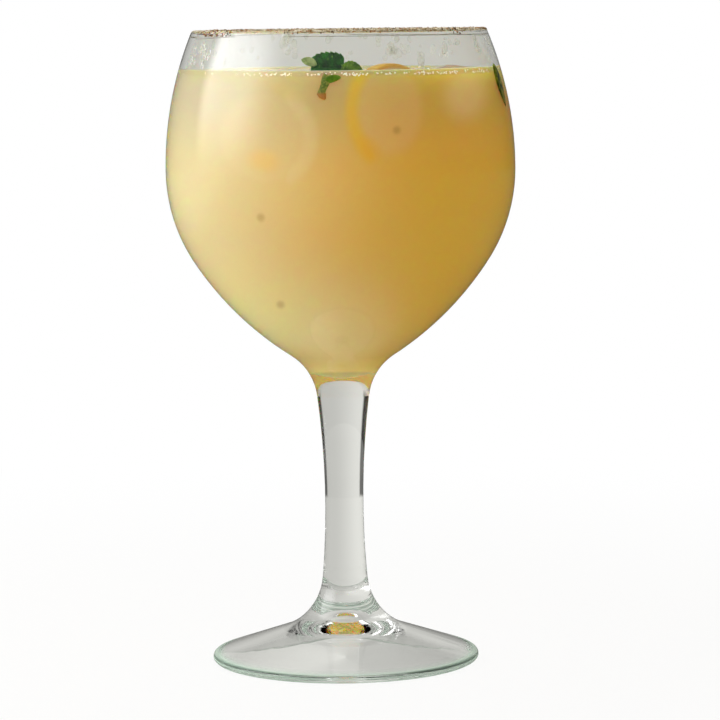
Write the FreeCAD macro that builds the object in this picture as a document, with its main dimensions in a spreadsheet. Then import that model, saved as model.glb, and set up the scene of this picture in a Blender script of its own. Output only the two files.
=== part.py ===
import FreeCAD, Part
import math
import os
import Sketcher

from FreeCAD import Placement, Rotation, Vector

# A balloon goblet of ginger lemonade: a one-piece soda-lime glass with a solid stem and foot, the cloudy
# drink it holds, a crust of sugar and spice on its rim, a mint sprig, a loose mint leaf and a lemon slice.
#
# Frame: millimetres, +Z up along the stem, the origin at the centre of the plane that the foot stands on,
# -Y the front.

# ---------------------------------------------------------------- driving sizes
SIZES = {
    # outside of the glass, from the rim down
    "glass_height": 194.3,  # table to the top of the rim
    "rim_radius": 44.9,
    "belly_radius": 53.5,  # widest place of the bowl
    "belly_drop": 42.3,  # how far that is under the rim
    "lower_curve": 51.8,  # radius of the bowl's wall under the belly
    "ease_drop": 28.2,  # how far under the belly that curve eases into the cone
    "cone_curve": 98.0,  # radius of the flatter wall that leads to the neck
    "neck_curve": 17.7,  # hollow curve between bowl and stem
    "stem_radius": 5.9,  # at the waist, the thinnest place
    "waist_height": 48.8,
    "stem_curve": 262.0,  # how gently the stem swells above and below the waist
    "flare_curve": 18.6,  # hollow curve between stem and foot
    "foot_slope": 19.0,  # degrees that the top of the foot falls by
    "foot_radius": 41.2,
    "edge_curve": 1.25,  # round edge of the foot
    # underside of the foot
    "ring_inside": 38.9,  # inner radius of the flat ring that stands on the table
    "kick_slope": 17.0,  # degrees that the underside rises by towards the middle
    "kick_blend": 3.0,
    "dimple_curve": 7.0,
    "dimple_height": 13.0,
    # inside of the bowl
    "wall": 1.8,
    "inner_cone_curve": 92.0,
    "bottom_curve": 10.0,
    # the drink
    "drink_drop": 12.5,  # its surface, under the rim
    # spice crust on the rim
    "crust": 0.5,  # thickness over the glass, on average
    "crust_depth": 0.6,  # how far the even part of it reaches down from the top of the rim
    "crust_gap": 46.0,  # degrees of the rim, about its left, that stayed bare
    "clump_length": 5.2,  # along the rim, of the stretches that differ in thickness
    # lemon slice, standing in the drink at the front
    "slice_radius": 16.0,
    "slice_thickness": 4.6,
    "slice_edge": 0.9,
    "slice_rise": 2.5,  # how far its top stands out of the drink
    "slice_across": 14.2,  # its centre, to the right of the stem's axis
    "slice_gap": 0.95,  # from its left edge to the wall in front of it
    "slice_turn": 40.0,  # degrees it is turned away from the front, its left edge forward
    # mint
    "leaf_thickness": 0.6,
    "mint_across": -4.6,  # crown of the sprig's large leaf, left of the axis
    "mint_gap": 3.05,  # from that crown to the wall in front of it
    "mint_rise": 3.7,  # of that crown, above the drink
    "large_leaf_length": 12.4,
    "large_leaf_width": 8.8,
    "large_leaf_curl": 7.5,
    "large_leaf_lift": 46.0,  # degrees by which its far side is lifted
    "small_leaf_length": 8.0,
    "small_leaf_width": 5.4,
    "small_leaf_curl": 5.0,
    "small_leaf_lift": 38.0,
    "bud_radius": 1.5,  # where leaves and stalk meet
    "stalk_side": 2.4,  # mint stalks are square
    "stalk_length": 9.4,
    "stalk_lean": 20.0,  # degrees that its foot is off to the left
    "stalk_forward": 17.0,  # degrees that its foot is off to the front, towards the wall
    "side_leaf_length": 15.0,
    "side_leaf_width": 12.0,
    "side_leaf_curl": 42.0,
    "side_leaf_turn": 62.0,  # degrees from level, along the wall, to its length
    "side_leaf_round": 12.0,  # degrees round the wall, from the right towards the front
    "side_leaf_sink": 4.2,  # its middle, under the drink's surface
    "side_leaf_gap": 1.2,  # from its middle to the wall
}
CUT_MARGIN = 6.0  # how far cutting shapes reach past what they cut
CRUST_UNEVENNESS = 0.4  # how far a stretch of crust differs from the average, as a share of it
GOLDEN = 137.508  # degrees; steps of it spread values evenly and without a visible order
LARGE_LEAF_TURN = {"heading": -6, "roll": 4}  # degrees
SMALL_LEAF_TURN = {"heading": 8, "roll": 10}
STALK_TWIST = 25  # degrees that its square section is turned by
BUD_ON_LEAF = (1, -1, -0.3)  # the bud's place along the large leaf's own axes, in bud radii

doc = FreeCAD.newDocument("ginger_lemonade")
sheet = doc.addObject("Spreadsheet::Sheet", "sizes")
for row, (alias, value) in enumerate(SIZES.items(), start=1):
    sheet.set(f"A{row}", alias)
    sheet.set(f"B{row}", str(value))
    sheet.setAlias(f"B{row}", alias)
doc.recompute()


def value(expression):
    """What an expression on the sheet comes to."""
    return float(sheet.evalExpression(expression))


def size(alias):
    """The value that a cell of the sheet holds."""
    return value(f"sizes.{alias}")


# ---------------------------------------------------------------- the bowl's levels and curves
BELLY_HEIGHT = "(sizes.glass_height - sizes.belly_drop)"
DRINK_LEVEL = "(sizes.glass_height - sizes.drink_drop)"
RIM_LEVEL = "(sizes.glass_height - sizes.wall / 2)"
# The wall above the belly is one arc: its centre is level with the belly, and it passes through the rim.
UPPER_CURVE = (
    "((sizes.belly_drop^2 + (sizes.belly_radius - sizes.rim_radius)^2)"
    " / (2 * (sizes.belly_radius - sizes.rim_radius)))"
)
# The arc under it ends where it has turned this far towards the stem.
EASE_TURN = "asin(sizes.ease_drop / sizes.lower_curve)"


def wall_radius(height, inset="sizes.wall"):
    """Expression for the bowl's radius over the belly, at a height and a depth into its wall."""
    return (
        f"(sizes.belly_radius - {UPPER_CURVE}"
        f" + sqrt(({UPPER_CURVE} - {inset})^2 - ({height} - {BELLY_HEIGHT})^2))"
    )


RIM_MIDDLE = wall_radius(RIM_LEVEL, inset="sizes.wall / 2")


# ---------------------------------------------------------------- plane geometry for the outlines
def point(x, y):
    return Vector(x, y, 0)


def toward(angle, length=1.0):
    """A step of that length, at an angle in degrees from the outline's +X."""
    return point(math.cos(math.radians(angle)), math.sin(math.radians(angle))) * length


def circles_meet(centre_a, radius_a, centre_b, radius_b, left):
    """Where two circles cross: on the left of the way from a to b, or on its right."""
    between = centre_b - centre_a
    gap = between.Length
    along = (gap**2 + radius_a**2 - radius_b**2) / (2 * gap)
    out = math.sqrt(radius_a**2 - along**2)
    ahead = between / gap
    aside = point(-ahead.y, ahead.x) * (1 if left else -1)
    return centre_a + ahead * along + aside * out


def line_meets_circle(start, direction, centre, radius):
    """Where a line that starts inside a circle leaves it."""
    step = direction / direction.Length
    reach = (centre - start).dot(step)
    miss = (start + step * reach - centre).Length
    return start + step * (reach + math.sqrt(radius**2 - miss**2))


def on_circle(centre, other, radius):
    """The point of a circle on the way from its centre to another point."""
    return centre + (other - centre).normalize() * radius


class Outline:
    """A closed outline on a body's XZ plane, of curves added in order, each from where the last ended."""

    def __init__(self, body, name):
        self.sketch = body.newObject("Sketcher::SketchObject", name)
        plane = next(f for f in body.Origin.OriginFeatures if f.Role == "XZ_Plane")
        self.sketch.AttachmentSupport = [(plane, "")]
        self.sketch.MapMode = "FlatFace"
        self.curves = []

    def line(self, start, end):
        curve = self.sketch.addGeometry(Part.LineSegment(start, end), False)
        self.curves.append((curve, 1, 2))
        return curve

    def arc(self, centre, start, end):
        """The shorter arc about a centre from one point to another."""
        first = math.atan2(start.y - centre.y, start.x - centre.x)
        last = math.atan2(end.y - centre.y, end.x - centre.x)
        counterclockwise = (last - first) % (2 * math.pi) < math.pi
        if not counterclockwise:
            first, last = last, first
        circle = Part.Circle(centre, Vector(0, 0, 1), (start - centre).Length)
        curve = self.sketch.addGeometry(Part.ArcOfCircle(circle, first, last), False)
        self.curves.append((curve, 1, 2) if counterclockwise else (curve, 2, 1))
        return curve

    def join(self, smooth):
        """Closes the outline: pairs named in smooth join tangent, the others only meet."""
        ends = {curve: (start, end) for curve, start, end in self.curves}
        order = [curve for curve, _, _ in self.curves]
        for curve, following in zip(order, order[1:] + order[:1]):
            kind = "Tangent" if (curve, following) in smooth else "Coincident"
            self.add(kind, curve, ends[curve][1], following, ends[following][0])

    def start_of(self, curve):
        return next(start for c, start, _ in self.curves if c == curve)

    def end_of(self, curve):
        return next(end for c, _, end in self.curves if c == curve)

    def add(self, kind, *arguments):
        return self.sketch.addConstraint(Sketcher.Constraint(kind, *arguments))

    def on_axis(self, curve, vertex):
        self.add("PointOnObject", curve, vertex, -2)

    def level(self, curve, vertex, other, other_vertex):
        self.add("Horizontal", curve, vertex, other, other_vertex)

    def size(self, name, expression, kind, *arguments):
        """A named dimension, driven by an expression on the sheet."""
        index = self.add(kind, *arguments)
        self.sketch.renameConstraint(index, name)
        self.sketch.setExpression(f"Constraints.{name}", expression)

    def radius(self, name, expression, curve):
        self.size(name, expression, "Radius", curve, self.radius_of(curve))

    def radius_of(self, curve):
        return self.sketch.Geometry[curve].Radius

    def place(self, curve, vertex):
        return self.sketch.getPoint(curve, vertex)

    def across(self, name, expression, curve, vertex):
        """Distance of a point from the axis."""
        self.size(name, expression, "DistanceX", -1, 1, curve, vertex, self.place(curve, vertex).x)

    def height(self, name, expression, curve, vertex):
        """Height of a point over the table."""
        self.size(name, expression, "DistanceY", -1, 1, curve, vertex, self.place(curve, vertex).y)


# ---------------------------------------------------------------- the bowl's inside, in both sections
def bowl_inside(shore):
    """The arcs of the bowl's inside, from a point of its upper curve down to the axis: centre, start, end."""
    belly = point(size("belly_radius") - size("wall"), value(BELLY_HEIGHT))
    lower_radius = size("lower_curve") - size("wall")
    upper_centre = belly - point(value(UPPER_CURVE) - size("wall"), 0)
    lower_centre = belly - point(lower_radius, 0)
    turn = value(EASE_TURN)
    ease = lower_centre + toward(-turn, lower_radius)
    cone_centre = ease - toward(-turn, size("inner_cone_curve"))
    # the bottom's arc is centred on the axis and touches the cone's arc from within
    reach = size("inner_cone_curve") - size("bottom_curve")
    bottom_centre = point(0, cone_centre.y - math.sqrt(reach**2 - cone_centre.x**2))
    bottom_top = on_circle(cone_centre, bottom_centre, size("inner_cone_curve"))
    return {
        "in_upper": (upper_centre, shore, belly),
        "in_lower": (lower_centre, belly, ease),
        "in_cone": (cone_centre, ease, bottom_top),
        "in_bottom": (bottom_centre, bottom_top, bottom_centre - point(0, size("bottom_curve"))),
    }


def size_inside(outline, curves, upward):
    """Ties the inside of the bowl to the sheet."""
    upper, lower, cone, base = (curves[name] for name in ("in_upper", "in_lower", "in_cone", "in_bottom"))
    first, last = (outline.end_of, outline.start_of) if upward else (outline.start_of, outline.end_of)
    outline.level(upper, 3, lower, first(lower))
    outline.on_axis(base, 3)
    outline.radius("in_upper", f"{UPPER_CURVE} - sizes.wall", upper)
    outline.across("in_belly_radius", "sizes.belly_radius - sizes.wall", lower, first(lower))
    outline.height("in_belly_height", BELLY_HEIGHT, lower, first(lower))
    outline.radius("in_lower", "sizes.lower_curve - sizes.wall", lower)
    outline.height(
        "in_ease_height",
        f"{BELLY_HEIGHT} - sizes.ease_drop * (1 - sizes.wall / sizes.lower_curve)",
        lower,
        last(lower),
    )
    outline.radius("in_cone", "sizes.inner_cone_curve", cone)
    outline.radius("in_bottom", "sizes.bottom_curve", base)


# ---------------------------------------------------------------- section of the glass
def glass_outline(body):
    belly = point(size("belly_radius"), value(BELLY_HEIGHT))
    upper_centre = belly - point(value(UPPER_CURVE), 0)
    rim_centre = point(value(RIM_MIDDLE), value(RIM_LEVEL))
    rim_out = on_circle(upper_centre, rim_centre, value(UPPER_CURVE))
    rim_in = on_circle(upper_centre, rim_centre, value(UPPER_CURVE) - size("wall"))
    lower_centre = belly - point(size("lower_curve"), 0)
    ease = lower_centre + toward(-value(EASE_TURN), size("lower_curve"))
    cone_centre = ease - toward(-value(EASE_TURN), size("cone_curve"))
    waist = point(size("stem_radius"), size("waist_height"))
    stem_centre = waist + point(size("stem_curve"), 0)
    neck_centre = circles_meet(
        cone_centre,
        size("cone_curve") + size("neck_curve"),
        stem_centre,
        size("stem_curve") - size("neck_curve"),
        left=False,
    )
    neck_top = on_circle(cone_centre, neck_centre, size("cone_curve"))
    neck_end = on_circle(stem_centre, neck_centre, size("stem_curve"))
    # foot: its top is a line tangent to the round edge, its underside a flat ring and a hollow
    edge_centre = point(size("foot_radius") - size("edge_curve"), size("edge_curve"))
    up_from_top = toward(90 - size("foot_slope"))
    edge_top = edge_centre + up_from_top * size("edge_curve")
    edge_foot = edge_centre - point(0, size("edge_curve"))
    flare_centre = line_meets_circle(
        edge_top + up_from_top * size("flare_curve"),
        toward(180 - size("foot_slope")),
        stem_centre,
        size("stem_curve") - size("flare_curve"),
    )
    flare_top = on_circle(stem_centre, flare_centre, size("stem_curve"))
    flare_end = flare_centre - up_from_top * size("flare_curve")
    ring = point(size("ring_inside"), 0)
    up_from_kick = toward(90 - size("kick_slope"))
    dimple_centre = point(0, size("dimple_height") - size("dimple_curve"))
    dimple_top = point(0, size("dimple_height"))
    along_kick = toward(180 - size("kick_slope"))
    blend_line = ring + up_from_kick * size("kick_blend")
    blend_centre = line_meets_circle(
        blend_line + along_kick * (dimple_centre - blend_line).dot(along_kick),
        along_kick * -1,
        dimple_centre,
        size("kick_blend") + size("dimple_curve"),
    )
    kick_end = blend_centre - up_from_kick * size("kick_blend")
    blend_end = on_circle(dimple_centre, blend_centre, size("dimple_curve"))

    outline = Outline(body, "glass_section")
    upper = outline.arc(upper_centre, rim_out, belly)
    lower = outline.arc(lower_centre, belly, ease)
    cone = outline.arc(cone_centre, ease, neck_top)
    neck = outline.arc(neck_centre, neck_top, neck_end)
    stem = outline.arc(stem_centre, neck_end, flare_top)
    flare = outline.arc(flare_centre, flare_top, flare_end)
    foot = outline.line(flare_end, edge_top)
    edge = outline.arc(edge_centre, edge_top, edge_foot)
    stand = outline.line(edge_foot, ring)
    kick = outline.line(ring, kick_end)
    blend = outline.arc(blend_centre, kick_end, blend_end)
    dimple = outline.arc(dimple_centre, blend_end, dimple_top)
    inside = bowl_inside(rim_in)
    axis = outline.line(dimple_top, inside["in_bottom"][2])
    inner = {name: outline.arc(centre, end, start) for name, (centre, start, end) in reversed(inside.items())}
    rim = outline.arc(rim_centre, rim_in, rim_out)

    chain = [upper, lower, cone, neck, stem, flare, foot, edge, stand]
    inner_chain = [*inner.values(), rim, upper]
    smooth = set(zip(chain, chain[1:])) | set(zip(inner_chain, inner_chain[1:]))
    outline.join(smooth | {(kick, blend), (blend, dimple)})
    outline.level(upper, 3, lower, outline.start_of(lower))
    outline.add("Horizontal", stand)
    outline.add("PointOnObject", stand, 1, -1)
    outline.on_axis(axis, 1)
    outline.on_axis(axis, 2)
    outline.on_axis(dimple, 3)
    outline.height("rim_level", RIM_LEVEL, rim, 3)
    outline.across("belly_radius", "sizes.belly_radius", lower, outline.start_of(lower))
    outline.height("belly_height", BELLY_HEIGHT, lower, outline.start_of(lower))
    outline.radius("upper_curve", UPPER_CURVE, upper)
    outline.radius("lower_curve", "sizes.lower_curve", lower)
    outline.height("ease_height", f"{BELLY_HEIGHT} - sizes.ease_drop", lower, outline.end_of(lower))
    outline.radius("cone_curve", "sizes.cone_curve", cone)
    outline.radius("neck_curve", "sizes.neck_curve", neck)
    outline.radius("stem_curve", "sizes.stem_curve", stem)
    outline.height("waist_height", "sizes.waist_height", stem, 3)
    outline.across("waist_centre", "sizes.stem_radius + sizes.stem_curve", stem, 3)
    outline.radius("flare_curve", "sizes.flare_curve", flare)
    outline.size("foot_slope", "-sizes.foot_slope", "Angle", foot, math.radians(-size("foot_slope")))
    outline.radius("edge_curve", "sizes.edge_curve", edge)
    outline.across("edge_place", "sizes.foot_radius - sizes.edge_curve", edge, 3)
    outline.across("ring_inside", "sizes.ring_inside", stand, 2)
    kick_angle = math.radians(180 - size("kick_slope"))
    outline.size("kick_slope", "180 - sizes.kick_slope", "Angle", kick, kick_angle)
    outline.radius("kick_blend", "sizes.kick_blend", blend)
    outline.radius("dimple_curve", "sizes.dimple_curve", dimple)
    outline.height("dimple_height", "sizes.dimple_height", axis, 1)
    size_inside(outline, inner, upward=True)
    return outline.sketch


# ---------------------------------------------------------------- section of the drink
def drink_outline(body):
    shore = point(value(wall_radius(DRINK_LEVEL)), value(DRINK_LEVEL))
    outline = Outline(body, "drink_section")
    top = outline.line(point(0, shore.y), shore)
    inside = bowl_inside(shore)
    inner = {name: outline.arc(*arc) for name, arc in inside.items()}
    axis = outline.line(inside["in_bottom"][2], point(0, shore.y))
    chain = list(inner.values())
    outline.join(set(zip(chain, chain[1:])))
    outline.add("Horizontal", top)
    outline.on_axis(top, 1)
    outline.on_axis(axis, 1)
    outline.height("level", DRINK_LEVEL, top, 2)
    size_inside(outline, inner, upward=False)
    return outline.sketch


def turned(body, name, sketch):
    """A revolution of a sketch, a full turn about the axis of the glass."""
    feature = body.newObject("PartDesign::Revolution", name)
    feature.Profile = sketch
    feature.ReferenceAxis = (sketch, ["V_Axis"])
    feature.Angle = 360
    sketch.Visibility = False
    return feature


# ---------------------------------------------------------------- the glass
def make_glass():
    body = doc.addObject("PartDesign::Body", "glass")
    turned(body, "glass_solid", glass_outline(body))
    return body


# ---------------------------------------------------------------- small helpers for part objects
def primitive(kind, name, **expressions):
    thing = doc.addObject(kind, name)
    for prop, expression in expressions.items():
        thing.setExpression(prop, expression)
    return thing


def boolean(kind, name, first, *others):
    thing = doc.addObject(kind, name)
    if kind == "Part::MultiFuse":
        thing.Shapes = [first, *others]
    else:
        thing.Base, thing.Tool = first, others[0]
    return thing


def put(thing, x, y, z, rotation):
    """Places a thing: a rotation, and three expressions for its base."""
    thing.Placement = Placement(Vector(), rotation)
    for axis, expression in zip("xyz", (x, y, z)):
        thing.setExpression(f"Placement.Base.{axis}", expression)


# ---------------------------------------------------------------- mint
def make_leaf(name, length, width, curl):
    """A leaf lying along X, pointed at both ends, arched across, its crown at the origin and facing +Z."""
    body = doc.addObject("PartDesign::Body", f"{name}_outline")
    sketch = body.newObject("Sketcher::SketchObject", f"{name}_edge")
    plane = next(f for f in body.Origin.OriginFeatures if f.Role == "XY_Plane")
    sketch.AttachmentSupport = [(plane, "")]
    sketch.MapMode = "FlatFace"
    long, wide = size(length), size(width)
    radius = (long**2 + wide**2) / (4 * wide)
    half_turn = math.asin(long / 2 / radius)
    for side in (1, -1):
        circle = Part.Circle(Vector(0, side * (wide / 2 - radius), 0), Vector(0, 0, 1), radius)
        middle = side * math.pi / 2
        sketch.addGeometry(Part.ArcOfCircle(circle, middle - half_turn, middle + half_turn), False)
    sketch.addConstraint(Sketcher.Constraint("Coincident", 0, 1, 1, 2))
    sketch.addConstraint(Sketcher.Constraint("Coincident", 0, 2, 1, 1))
    sketch.addConstraint(Sketcher.Constraint("PointOnObject", 0, 1, -1))
    sketch.addConstraint(Sketcher.Constraint("PointOnObject", 0, 2, -1))
    sketch.addConstraint(Sketcher.Constraint("PointOnObject", 0, 3, -2))
    sketch.addConstraint(Sketcher.Constraint("Equal", 0, 1))
    for constraint, label, expression in (
        (("DistanceX", 0, 2, 0, 1, long), "leaf_length", f"sizes.{length}"),
        (("Radius", 0, radius), "side_curve", f"(sizes.{length}^2 + sizes.{width}^2) / (4 * sizes.{width})"),
    ):
        index = sketch.addConstraint(Sketcher.Constraint(*constraint))
        sketch.renameConstraint(index, label)
        sketch.setExpression(f"Constraints.{label}", expression)
    pad = body.newObject("PartDesign::Pad", f"{name}_pad")
    pad.Profile = sketch
    pad.Midplane = True
    pad.setExpression("Length", f"sizes.{width} * 2")
    # the sheet that the leaf is cut from: the upper half of a tube along X
    skin = primitive(
        "Part::Cylinder",
        f"{name}_skin",
        Radius=f"sizes.{curl}",
        Height=f"sizes.{length} + {CUT_MARGIN}",
    )
    core = primitive(
        "Part::Cylinder",
        f"{name}_core",
        Radius=f"sizes.{curl} - sizes.leaf_thickness",
        Height=f"sizes.{length} + {CUT_MARGIN}",
    )
    for tube in (skin, core):
        tube.Angle = 180
        put(
            tube,
            f"-(sizes.{length} + {CUT_MARGIN}) / 2",
            "0",
            f"-sizes.{curl}",
            Rotation(Vector(0, 1, 0), 90) * Rotation(Vector(0, 0, 1), 90),
        )
    arch = boolean("Part::Cut", f"{name}_arch", skin, core)
    return boolean("Part::Common", name, arch, body)


def tilted(lift, heading, roll):
    """Turns a leaf: roll about its width, lift its far side, then head round the axis of the glass."""
    return (
        Rotation(Vector(0, 0, 1), heading)
        * Rotation(Vector(1, 0, 0), lift)
        * Rotation(Vector(0, 1, 0), roll)
    )


def make_sprig():
    """A sprig's tip by the front wall: a large leaf, a small one, their bud and a square stalk."""
    crown_level = f"({DRINK_LEVEL} + sizes.mint_rise)"
    crown = ("sizes.mint_across", f"-({wall_radius(crown_level)} - sizes.mint_gap)", crown_level)
    large = make_leaf("large_leaf", "large_leaf_length", "large_leaf_width", "large_leaf_curl")
    large_turn = tilted(size("large_leaf_lift"), **LARGE_LEAF_TURN)
    put(large, *crown, large_turn)

    # the bud lies on the lower half of the large leaf, a little right of its middle
    on_leaf = large_turn * Vector(*BUD_ON_LEAF)
    bud_place = [f"({base} + sizes.bud_radius * {step:.5f})" for base, step in zip(crown, on_leaf)]
    bud = primitive("Part::Sphere", "bud", Radius="sizes.bud_radius")
    put(bud, *bud_place, Rotation())

    small = make_leaf("small_leaf", "small_leaf_length", "small_leaf_width", "small_leaf_curl")
    small_turn = tilted(size("small_leaf_lift"), **SMALL_LEAF_TURN)
    along = small_turn * Vector(0.5, 0, 0)
    put(
        small,
        *[f"{base} + sizes.small_leaf_length * {step:.5f}" for base, step in zip(bud_place, along)],
        small_turn,
    )

    stalk = primitive(
        "Part::Box",
        "stalk",
        Length="sizes.stalk_side",
        Width="sizes.stalk_side",
        Height="sizes.stalk_length",
    )
    stalk_turn = (
        Rotation(Vector(1, 0, 0), -size("stalk_forward"))
        * Rotation(Vector(0, 1, 0), 180 + size("stalk_lean"))
        * Rotation(Vector(0, 0, 1), STALK_TWIST)
    )
    corner = stalk_turn * Vector(-0.5, -0.5, 0)
    put(
        stalk,
        *[f"{base} + sizes.stalk_side * {step:.5f}" for base, step in zip(bud_place, corner)],
        stalk_turn,
    )
    return boolean("Part::MultiFuse", "mint_sprig", large, small, bud, stalk)


def make_side_leaf():
    """A loose leaf, upright along the right-hand wall, its top just out of the drink."""
    leaf = make_leaf("mint_leaf", "side_leaf_length", "side_leaf_width", "side_leaf_curl")
    middle = f"({DRINK_LEVEL} - sizes.side_leaf_sink)"
    lean = value(f"asin(({middle} - {BELLY_HEIGHT}) / ({UPPER_CURVE} - sizes.wall))")
    put(
        leaf,
        f"({wall_radius(middle)} - sizes.side_leaf_gap) * cos(sizes.side_leaf_round * 1deg)",
        f"-({wall_radius(middle)} - sizes.side_leaf_gap) * sin(sizes.side_leaf_round * 1deg)",
        middle,
        Rotation(Vector(0, 0, 1), -size("side_leaf_round"))
        * Rotation(Vector(0, 1, 0), 90 - lean)
        * Rotation(Vector(0, 0, 1), size("side_leaf_turn")),
    )
    return leaf


# ---------------------------------------------------------------- lemon slice
def make_slice():
    """A round slice that stands on edge in the drink, its left edge near the front wall."""
    body = doc.addObject("PartDesign::Body", "lemon_slice")
    sketch = body.newObject("Sketcher::SketchObject", "slice_round")
    plane = next(f for f in body.Origin.OriginFeatures if f.Role == "XZ_Plane")
    sketch.AttachmentSupport = [(plane, "")]
    sketch.MapMode = "FlatFace"
    sketch.addGeometry(Part.Circle(Vector(), Vector(0, 0, 1), size("slice_radius")), False)
    sketch.addConstraint(Sketcher.Constraint("Coincident", 0, 3, -1, 1))
    index = sketch.addConstraint(Sketcher.Constraint("Radius", 0, size("slice_radius")))
    sketch.renameConstraint(index, "slice_radius")
    sketch.setExpression("Constraints.slice_radius", "sizes.slice_radius")
    pad = body.newObject("PartDesign::Pad", "slice_pad")
    pad.Profile = sketch
    pad.Midplane = True
    pad.setExpression("Length", "sizes.slice_thickness")
    doc.recompute()
    rind = body.newObject("PartDesign::Fillet", "rind_rounding")
    rind.Base = (
        pad,
        [
            f"Edge{number}"
            for number, edge in enumerate(pad.Shape.Edges, start=1)
            if isinstance(edge.Curve, Part.Circle)
        ],
    )
    rind.setExpression("Radius", "min(sizes.slice_edge; 0.45 * sizes.slice_thickness)")
    middle = f"({DRINK_LEVEL} + sizes.slice_rise - sizes.slice_radius)"
    # its left edge comes nearest to the wall half a radius over its middle, where it reaches cos(30) as far
    wall_there = wall_radius(f"({middle} + sizes.slice_radius / 2)")
    edge_forward = (
        "(sizes.slice_radius * cos(30deg) * sin(sizes.slice_turn * 1deg)"
        " + sizes.slice_thickness / 2 * cos(sizes.slice_turn * 1deg))"
    )
    put(
        body,
        "sizes.slice_across",
        f"-({wall_there} - sizes.slice_gap - {edge_forward})",
        middle,
        Rotation(Vector(0, 0, 1), size("slice_turn")),
    )
    return body


# ---------------------------------------------------------------- the drink
def make_drink(garnish):
    """The lemonade, up to its level, cut round what floats in it."""
    body = doc.addObject("PartDesign::Body", "fill")
    turned(body, "fill_solid", drink_outline(body))
    floating = boolean("Part::MultiFuse", "garnish", *garnish)
    return boolean("Part::Cut", "lemonade", body, floating)


# ---------------------------------------------------------------- spice crust
def make_crust():
    """Sugar and spice stuck to the wet rim: an uneven hood over the rounded rim, open at the left."""
    spiced = 360 - size("crust_gap")
    count = round(math.radians(spiced) * size("rim_radius") / size("clump_length"))
    clumps = []
    for number in range(count):
        wander = math.radians(number * GOLDEN)
        share = 1 + CRUST_UNEVENNESS * math.sin(wander)
        clump = primitive(
            "Part::Torus",
            f"clump_{number:02d}",
            Radius1=RIM_MIDDLE,
            Radius2=f"sizes.wall / 2 + sizes.crust * {share:.3f}",
            Angle3=f"(360 - sizes.crust_gap) / {count}",
        )
        put(clump, "0", "0", RIM_LEVEL, Rotation(Vector(0, 0, 1), spiced * (number / count - 0.5)))
        clumps.append(clump)
    ring = boolean("Part::MultiFuse", "crust_ring", *clumps)
    band = primitive(
        "Part::Cylinder",
        "crust_band",
        Radius=f"sizes.rim_radius + {CUT_MARGIN}",
        Height=f"sizes.crust_depth + {CUT_MARGIN}",
    )
    put(band, "0", "0", "sizes.glass_height - sizes.crust_depth", Rotation())
    upper = boolean("Part::Common", "crust_upper", ring, band)
    rim = primitive("Part::Torus", "rim_ring", Radius1=RIM_MIDDLE, Radius2="sizes.wall / 2")
    put(rim, "0", "0", RIM_LEVEL, Rotation())
    return boolean("Part::Cut", "spice_rim", upper, rim)


# ---------------------------------------------------------------- build, check and write
glass = make_glass()
slice_body = make_slice()
sprig = make_sprig()
side_leaf = make_side_leaf()
lemonade = make_drink([slice_body, sprig, side_leaf])
crust = make_crust()
doc.recompute()

NODES = {
    "glass": glass,
    "lemonade": lemonade,
    "spice_rim": crust,
    "lemon_slice": slice_body,
    "mint_sprig": sprig,
    "mint_leaf": side_leaf,
}
for thing in doc.Objects:
    if {"Invalid", "Error"} & set(thing.State):
        raise RuntimeError(f"{thing.Name} failed: {thing.State}")
for node, thing in NODES.items():
    thing.Label = node
    shape = thing.Shape
    if shape.isNull() or not shape.isValid() or not shape.Solids:
        raise RuntimeError(f"{node} has no valid solid")

os.makedirs("parts", exist_ok=True)
for node, thing in NODES.items():
    shape = thing.Shape
    shape.exportStep(f"parts/{node}.step")
    box = shape.optimalBoundingBox()
    print(
        f"{node}: {len(shape.Solids)} solid, {len(shape.Faces)} faces, {shape.Volume / 1000:.2f} ml,"
        f" X {box.XMin:.2f}..{box.XMax:.2f} Y {box.YMin:.2f}..{box.YMax:.2f} Z {box.ZMin:.2f}..{box.ZMax:.2f}"
    )
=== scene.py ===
# %% [markdown]
# # Ginger lemonade in a balloon goblet
# A stemmed glass of cloudy, golden lemonade with a lemon slice, mint, and spice and sugar on its rim. The CAD
# model is loaded as a fixed frame: it has the real sizes and places, and everything here is modelled round
# it, in metres, with +Z up along the stem and -Y at the front.

import random
from math import asin, atan2, cos, degrees, exp, hypot, pi, radians, sin, sqrt

import bpy
from mathutils import Matrix, Vector


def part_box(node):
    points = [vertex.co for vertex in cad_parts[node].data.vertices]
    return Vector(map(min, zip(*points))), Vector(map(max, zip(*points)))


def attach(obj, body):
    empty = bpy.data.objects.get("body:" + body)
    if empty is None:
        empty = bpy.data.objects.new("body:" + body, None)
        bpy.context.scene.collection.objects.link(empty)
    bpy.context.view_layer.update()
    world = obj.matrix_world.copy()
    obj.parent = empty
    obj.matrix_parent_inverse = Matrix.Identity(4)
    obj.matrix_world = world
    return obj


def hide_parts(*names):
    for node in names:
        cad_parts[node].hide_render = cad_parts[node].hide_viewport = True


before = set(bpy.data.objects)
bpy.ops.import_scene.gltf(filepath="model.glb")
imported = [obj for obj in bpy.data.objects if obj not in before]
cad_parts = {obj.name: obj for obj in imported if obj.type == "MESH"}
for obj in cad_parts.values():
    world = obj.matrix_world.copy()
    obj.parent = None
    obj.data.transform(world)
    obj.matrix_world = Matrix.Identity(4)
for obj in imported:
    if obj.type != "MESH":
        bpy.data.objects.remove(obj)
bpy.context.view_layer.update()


def deselect():
    bpy.ops.object.select_all(action="DESELECT")


def named(name):
    """The object that was added last, once it has its own name."""
    bpy.context.object.name = name
    return bpy.context.object


# %% [markdown]
# ## Camera
# The glass is seen from its front, from about the height of its rim and a metre away. A long lens keeps the
# bowl round. The view is turned a little to the right, so the glass stands left of the middle, and it leans
# by 0.6 degree, as a hand-held shot does. Light is mirrored many times inside the thick foot before it
# leaves, and a ray that is stopped early comes back black, so more mirror bounces than the usual 4 are kept.

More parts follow.
